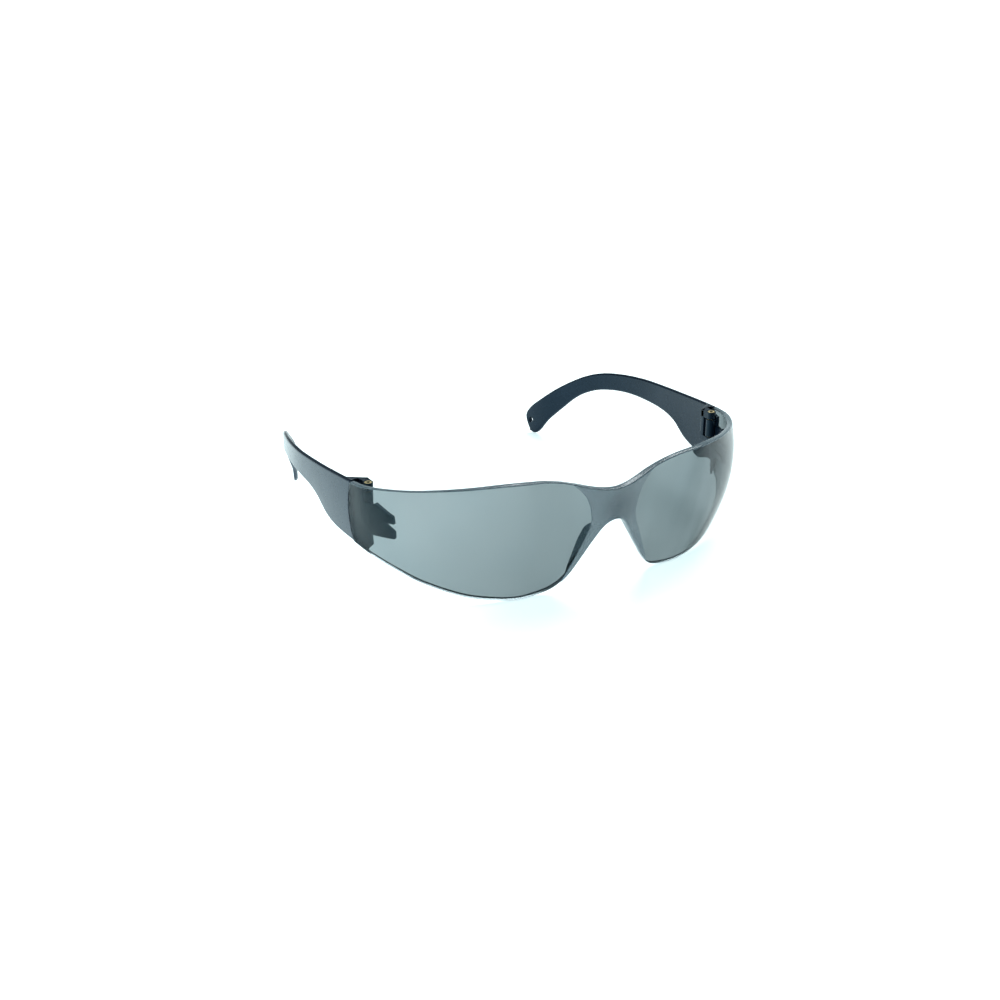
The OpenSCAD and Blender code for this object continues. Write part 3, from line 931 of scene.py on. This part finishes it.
def painted_sheen_falloff(nodes, links):
    """Painted sheen: 1 at the middle of the bridge, where its colour is darkest, falling to 0 at
    its edges, where it is lightest.
    """
    where = nodes.new("ShaderNodeTexCoord")
    centred = nodes.new("ShaderNodeMapping")
    scale = 1 / (FROST_PAINTED_SHEEN_REACH * MM)
    centred.inputs["Scale"].default_value = (scale, scale, scale)
    centred.inputs["Location"].default_value = -place(FROST_PAINTED_SHEEN_CENTRE) * scale
    links.new(where.outputs["Object"], centred.inputs["Vector"])
    core = nodes.new("ShaderNodeTexGradient")
    core.gradient_type = "SPHERICAL"
    links.new(centred.outputs["Vector"], core.inputs["Vector"])
    return core.outputs["Fac"]


def frost_material():
    """The same plastic with the bridge's fine moulded grain and a painted sheen, darkest at its
    middle and lighter towards its edges.
    """
    material, nodes, links, shader = new_material("frosted_bridge")
    tint_the_inside(nodes, links)
    grain = noise(nodes, links, 2300.0, 3.0, 0.6)
    speckle = spread(nodes, links, grain.outputs["Fac"], -0.2, 0.2)
    shade = nodes.new("ShaderNodeMath")
    links.new(painted_sheen_falloff(nodes, links), shade.inputs[0])
    links.new(speckle.outputs["Result"], shade.inputs[1])
    paint(nodes, links, shader, shade.outputs["Value"],
          [(0.1, FROST_TINT_HIGH), (0.75, FROST_TINT_LOW)])
    roughen(nodes, links, shader, grain.outputs["Fac"], 0.16, 0.3)
    shader.inputs["Transmission Weight"].default_value = 0.8
    shader.inputs["IOR"].default_value = 1.5
    bump(nodes, links, shader, grain.outputs["Fac"], 0.00022, 0.7)
    let_lamps_through(nodes, links, shader, DULL_SHADOW)
    return material


def rim_material():
    """The shield's moulded rim, duller than its faces, in a lighter colour that is painted
    highlight along its edges.
    """
    material, nodes, links, shader = new_material("shield_rim")
    tint_the_inside(nodes, links)
    marks = noise(nodes, links, 160.0, 3.0)
    paint(nodes, links, shader, marks.outputs["Fac"],
          [(0.3, RIM_HIGHLIGHT_TINT_LOW), (0.7, RIM_HIGHLIGHT_TINT_HIGH)])
    roughen(nodes, links, shader, marks.outputs["Fac"], 0.15, 0.3)
    shader.inputs["Transmission Weight"].default_value = 0.68
    shader.inputs["IOR"].default_value = 1.4
    bump(nodes, links, shader, marks.outputs["Fac"], 0.00001)
    let_lamps_through(nodes, links, shader, DULL_SHADOW)
    return material


def plastic_material(name, tints, rough_low, rough_high, grain_depth):
    """Moulded slate plastic: soft colour variation, rubbed patches and a fine grain."""
    material, nodes, links, shader = new_material(name)
    patches = noise(nodes, links, 70.0, 4.0)
    paint(nodes, links, shader, patches.outputs["Fac"], [(0.3, tints[0]), (0.7, tints[1])])
    rub = noise(nodes, links, 240.0, 5.0, 0.6)
    roughen(nodes, links, shader, rub.outputs["Fac"], rough_low, rough_high)
    shader.inputs["IOR"].default_value = 1.32
    shader.inputs["Specular Tint"].default_value = (*GLOSS_TINT, 1)
    grain = noise(nodes, links, 3200.0, 2.0)
    bump(nodes, links, shader, grain.outputs["Fac"], grain_depth)
    return material


def brass_material():
    """Drawn brass, slightly dulled."""
    material, nodes, links, shader = new_material("pin_brass")
    stain = noise(nodes, links, 1800.0, 4.0)
    paint(nodes, links, shader, stain.outputs["Fac"], [(0.3, BRASS_LOW), (0.7, BRASS_HIGH)])
    roughen(nodes, links, shader, stain.outputs["Fac"], 0.2, 0.38)
    shader.inputs["Metallic"].default_value = 1.0
    bump(nodes, links, shader, stain.outputs["Fac"], 0.00002)
    return material


def floor_material():
    """Pale matt floor that glows softly, as if lit from all round."""
    material, nodes, links, shader = new_material("pale_floor")
    cloud = noise(nodes, links, 3.0, 2.0)
    paint(nodes, links, shader, cloud.outputs["Fac"], [(0.3, FLOOR_LOW), (0.7, FLOOR_HIGH)])
    shader.inputs["Roughness"].default_value = 0.7
    shader.inputs["Specular IOR Level"].default_value = 0.2
    where = nodes.new("ShaderNodeTexCoord")
    along = nodes.new("ShaderNodeVectorMath")
    along.operation = "DOT_PRODUCT"
    along.inputs[1].default_value = FLOOR_GLOW_WAY
    links.new(where.outputs["Object"], along.inputs[0])
    glow = spread(nodes, links, along.outputs["Value"], FLOOR_GLOW_LEFT, FLOOR_GLOW_RIGHT)
    glow.inputs["From Min"].default_value = FLOOR_GLOW_FROM
    glow.inputs["From Max"].default_value = FLOOR_GLOW_TO
    glow.interpolation_type = "SMOOTHSTEP"
    links.new(glow.outputs["Result"], shader.inputs["Emission Strength"])
    reach = nodes.new("ShaderNodeVectorMath")
    reach.operation = "LENGTH"
    links.new(where.outputs["Object"], reach.inputs[0])
    tint = ramp(nodes, links, reach.outputs["Value"],
                [(FAR_GLOW_FROM, LIGHT_TINT), (FAR_GLOW_TO, FAR_GLOW)])
    links.new(tint.outputs["Color"], shader.inputs["Emission Color"])
    return material


# ---------------------------------------------------------------- setting
def make_floor():
    """A wide pale floor."""
    bm = bmesh.new()
    bmesh.ops.create_circle(bm, cap_ends=True, segments=96, radius=FLOOR_RADIUS)
    obj = bmesh_object("floor", bm)
    give(obj, floor_material())


def area_light(name, location, size, power):
    """Square lamp that faces the origin."""
    lamp = bpy.data.lights.new(name, "AREA")
    lamp.shape = "SQUARE"
    lamp.size = size
    lamp.energy = power
    lamp.color = LAMP_TINT
    obj = add_object(name, lamp)
    obj.location = location
    obj.rotation_euler = (-Vector(location)).to_track_quat("-Z", "Y").to_euler()


def make_world():
    """Pale towards the horizon and dim overhead."""
    world = bpy.data.worlds.new("studio")
    world.use_nodes = True
    nodes, links = world.node_tree.nodes, world.node_tree.links
    background = nodes["Background"]
    where = nodes.new("ShaderNodeTexCoord")
    split = nodes.new("ShaderNodeSeparateXYZ")
    links.new(where.outputs["Generated"], split.inputs["Vector"])
    height = ramp(nodes, links, split.outputs["Z"],
                  [(at, [c * level for c in LIGHT_TINT]) for at, level in WORLD_BANDS])
    links.new(height.outputs["Color"], background.inputs["Color"])
    bpy.context.scene.world = world


def make_lights():
    make_world()
    for softbox in SOFTBOXES:
        area_light(*softbox)
    bpy.context.scene.view_settings.view_transform = "Standard"


def make_camera():
    """Camera that looks across the near temple's hinge and down on the shield."""
    back = Vector((math.sin(VIEW_AZIMUTH) * math.cos(VIEW_ELEVATION),
                   -math.cos(VIEW_AZIMUTH) * math.cos(VIEW_ELEVATION),
                   math.sin(VIEW_ELEVATION)))
    right = Vector((math.cos(VIEW_AZIMUTH), math.sin(VIEW_AZIMUTH), 0))
    up = back.cross(right)
    spot = back * VIEW_DISTANCE - right * VIEW_RIGHT - up * VIEW_UP
    camera = bpy.data.cameras.new("camera")
    camera.sensor_width = CAMERA_SENSOR
    camera.lens = CAMERA_LENS
    camera.clip_start = 0.01
    obj = add_object("camera", camera)
    turn = Matrix((right, up, back)).transposed().to_4x4()
    obj.matrix_world = Matrix.Translation(place(spot)) @ turn
    bpy.context.scene.camera = obj


# ---------------------------------------------------------------- assembly
def make_whole_shield(end_plastic):
    """The shield and its two flanges in one solid. The materials come before the joining,
    which keeps each face's slot."""
    materials = [lens_material(), frost_material(), rim_material(), end_plastic]
    shield = make_shield()
    give(shield, *materials)
    finish_mesh(shield, SHIELD_SHARP)
    left_flange = make_flange()
    for flange in (left_flange, mirrored(left_flange, "flange")):
        give(flange, *materials)
        finish_mesh(flange)
        union(shield, flange)
    finish_mesh(shield, SHIELD_SHARP)
    return shield


def dress(obj, name, body, slot, node, *materials):
    """Names a piece, gives it its materials and hangs it on its body."""
    obj.name = name
    give(obj, *materials)
    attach(obj, body)
    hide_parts(node)


make_camera()
make_lights()
make_floor()

temple_plastic = plastic_material("temple_plastic", TEMPLE_TINTS, 0.22, 0.32, 0.000003)
endpiece_plastic = plastic_material("endpiece_plastic", ENDPIECE_TINTS, 0.25, 0.4, 0.000004)
shield = make_whole_shield(endpiece_plastic)
dress(shield, "tinted_shield", "front", "tinted_shield", "lens_shield")

for make, piece, slot, materials in (
        (make_temple, "temple", "temple_plastic", [temple_plastic]),
        (make_endpiece, "endpiece", "endpiece_plastic", [endpiece_plastic]),
        (make_pin, "hinge_pin", "pin_brass", [brass_material(), endpiece_plastic])):
    left = make()
    right = mirrored(left, piece)
    for side, obj in (("left", left), ("right", right)):
        body = side + "_arm" if piece == "temple" else "front"
        dress(obj, side + "_" + piece + "_visual", body, slot, side + "_" + piece, *materials)
